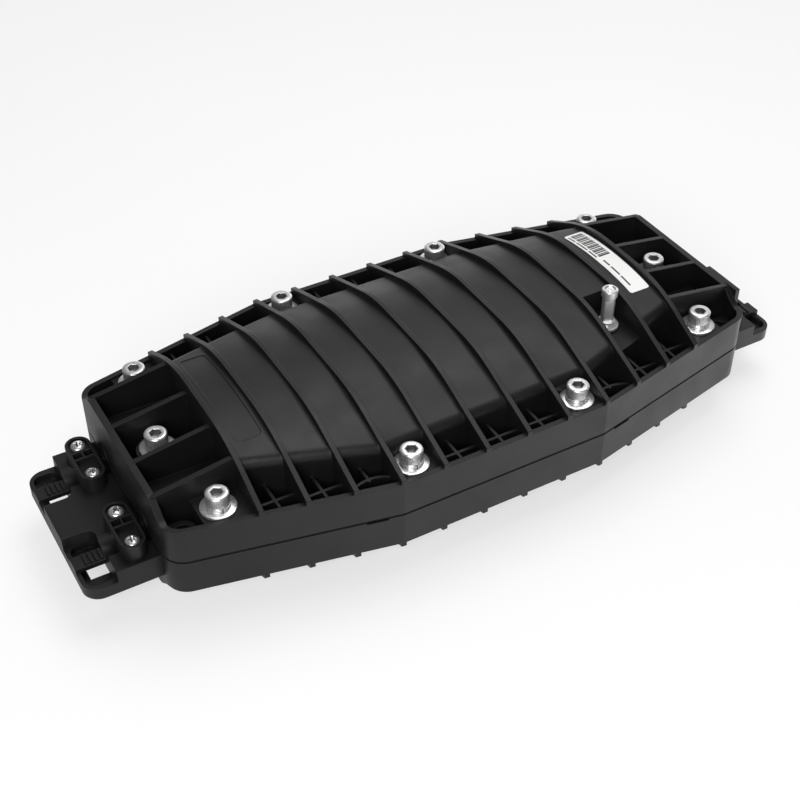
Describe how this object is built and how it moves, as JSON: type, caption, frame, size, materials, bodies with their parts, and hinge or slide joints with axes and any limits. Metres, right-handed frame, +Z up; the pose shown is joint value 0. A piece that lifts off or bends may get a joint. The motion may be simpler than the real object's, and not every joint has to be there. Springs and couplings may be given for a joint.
{
  "type": "inline splice closure",
  "caption": "Flat split closure for cable splices, with arched ribs, a bolted flange, cable wings with screwed clamps at both ends and an air valve.",
  "frame": {"origin": "middle of the footprint, on the plane the lower ribs stand on", "axes": "+X along the length to the end with the valve, +Y across to the back, +Z up"},
  "size_m": [0.4704, 0.1884, 0.1002],
  "materials": {
    "shell_plastic": "fine-grained moulded black",
    "clamp_plastic": "satin moulded black",
    "seal_rubber": "soft matt black",
    "tray_plastic": "moulded light grey",
    "lid_plastic": "smooth pale grey",
    "label_film": "matt white film",
    "valve_metal": "bright nickel plate",
    "pin_brass": "turned brass",
    "bracket_steel": "plain sheet steel",
    "zinc_steel": "bright zinc plate"
  },
  "bodies": {
    "housing": {"anchor_left_back": "bracket_steel", "anchor_left_front": "bracket_steel", "anchor_right_back": "bracket_steel", "anchor_right_front": "bracket_steel", "anchor_screws": "zinc_steel", "bracket_screws": "zinc_steel", "captive_nuts": "zinc_steel", "clamp_left_back": "clamp_plastic", "clamp_left_front": "clamp_plastic", "clamp_right_back": "clamp_plastic", "clamp_right_front": "clamp_plastic", "clamp_screws": "zinc_steel", "cover_bolts": "zinc_steel", "flat_washers": "zinc_steel", "gasket_back": "seal_rubber", "gasket_front": "seal_rubber", "gasket_left": "seal_rubber", "gasket_right": "seal_rubber", "lower_shell": "shell_plastic", "port_plug_left_back": "seal_rubber", "port_plug_left_front": "seal_rubber", "port_plug_right_back": "seal_rubber", "port_plug_right_front": "seal_rubber", "product_label": "label_film", "splice_comb_1": "tray_plastic", "splice_comb_2": "tray_plastic", "splice_comb_3": "tray_plastic", "splice_tray_1": "tray_plastic", "splice_tray_2": "tray_plastic", "splice_tray_3": "tray_plastic", "spring_washers": "zinc_steel", "tray_bracket": "bracket_steel", "tray_hinge_pins": "zinc_steel", "tray_lid": "lid_plastic", "upper_shell": "shell_plastic", "valve_body": "valve_metal", "valve_nut": "valve_metal", "valve_seal": "seal_rubber"},
    "cap_seal": {"cap_washer": "seal_rubber"},
    "screw_cap": {"valve_cap": "valve_metal"},
    "core_pin": {"valve_pin": "pin_brass"}
  },
  "joints": [
    {"name": "cap_lift", "type": "slide", "parent": "housing", "child": "cap_seal", "axis": [0, 0, 1], "range_m": [0, 0.0024]},
    {"name": "cap_turn", "type": "hinge", "parent": "cap_seal", "child": "screw_cap", "pos_m": [0.10558, -0.038, 0.0966], "axis": [0, 0, 1], "range_deg": [0, 1080]},
    {"name": "pin_press", "type": "slide", "parent": "housing", "child": "core_pin", "axis": [0, 0, -1], "range_m": [0, 0.0015], "stiffness_N_per_m": 400}
  ],
  "couplings": [
    {"joint": "cap_turn", "follows": "cap_lift", "rad_per_m": 7854}
  ]
}
